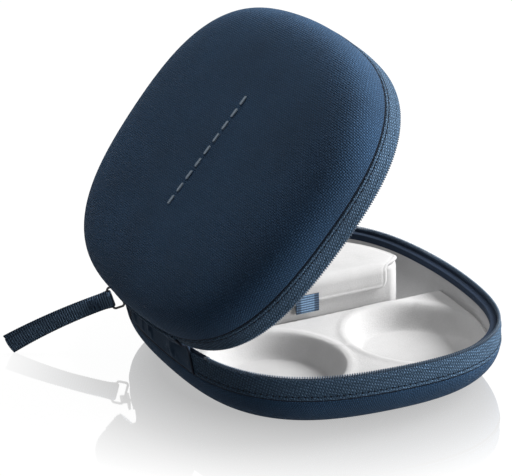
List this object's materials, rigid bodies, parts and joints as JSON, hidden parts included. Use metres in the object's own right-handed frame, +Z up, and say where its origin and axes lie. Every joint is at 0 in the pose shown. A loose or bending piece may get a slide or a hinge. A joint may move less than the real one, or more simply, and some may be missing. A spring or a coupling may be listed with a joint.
{
  "type": "headphone carrying case",
  "caption": "Hinged zip-round carrying case for folding headphones, moulded fabric shells, woven gusset, pale lined tray, accessory box and pull strap.",
  "frame": {"origin": "centre of the base's flat underside", "axes": "+X from the lid hinge to the opening side, +Y away from the ear-cup end, +Z up"},
  "size_m": [0.2405, 0.2202, 0.1898],
  "materials": {
    "shell_fabric": "fine twill weave laminated on moulded foam",
    "foam_core": "closed-cell moulded foam",
    "lining_fabric": "soft brushed pale grey lining",
    "gusset_fabric": "coarse two-tone navy weave",
    "hinge_fabric": "smooth fine navy fabric",
    "welt_cord": "dark covered cord",
    "zip_tape": "woven zip tape",
    "zip_teeth": "moulded nylon coil",
    "end_stops": "black lacquer",
    "rim_binding": "navy binding tape",
    "tray_fabric": "soft pale grey fabric over moulded foam",
    "magnet_steel": "nickel plate",
    "badge": "raised soft-touch print",
    "slider_metal": "black lacquer",
    "ring_wire": "black lacquer",
    "strap_webbing": "ribbed navy webbing",
    "tack_thread": "dense bar-tack stitching",
    "tab_webbing": "navy ribbon"
  },
  "bodies": {
    "base": {"lower_cover": "shell_fabric", "lower_core": "foam_core", "lower_lining": "lining_fabric", "lower_band": "gusset_fabric", "lower_hinge_panel": "hinge_fabric", "lower_seam_welt": "welt_cord", "lower_zip_tape": "zip_tape", "lower_zip_teeth": "zip_teeth", "lower_end_stops": "end_stops", "lower_rim_binding": "rim_binding", "ear_cup_tray": "tray_fabric", "accessory_box": "tray_fabric", "box_magnet": "magnet_steel", "flap_hinge_strip": "tray_fabric"},
    "lid": {"upper_cover": "shell_fabric", "upper_core": "foam_core", "upper_lining": "lining_fabric", "upper_band": "gusset_fabric", "upper_hinge_panel": "hinge_fabric", "upper_seam_welt": "welt_cord", "upper_zip_tape": "zip_tape", "upper_zip_teeth": "zip_teeth", "upper_end_stops": "end_stops", "upper_rim_binding": "rim_binding", "lid_mark": "badge"},
    "slider": {"slider_body": "slider_metal", "slider_bail": "slider_metal"},
    "ring": {"pull_ring": "ring_wire"},
    "strap": {"pull_strap": "strap_webbing", "strap_tack_patches": "tack_thread"},
    "flap": {"accessory_flap": "tray_fabric", "flap_magnet": "magnet_steel", "flap_pull_tab": "tab_webbing"}
  },
  "joints": [
    {"name": "lid_hinge", "type": "hinge", "parent": "base", "child": "lid", "pos_m": [-0.094, 0, 0.034], "axis": [0, -1, 0], "range_deg": [-49.5, 90]},
    {"name": "slider_travel", "type": "hinge", "parent": "base", "child": "slider", "pos_m": [-0.0208, 0.041, 0.036], "axis": [0, 0, -1], "range_deg": [0, 40]},
    {"name": "ring_swing", "type": "hinge", "parent": "slider", "child": "ring", "pos_m": [-0.08731, 0.06133, 0.0335], "axis": [-0.2685, 0.0925, 0.9588], "range_deg": [-35, 35]},
    {"name": "strap_swing", "type": "hinge", "parent": "ring", "child": "strap", "pos_m": [-0.09226, 0.06304, 0.0283], "axis": [-0.2685, 0.0925, 0.9588], "range_deg": [-55, 55]},
    {"name": "flap_hinge", "type": "hinge", "parent": "base", "child": "flap", "pos_m": [0, 0.0586, 0.0402], "axis": [-1, 0, 0], "range_deg": [0, 100]}
  ]
}
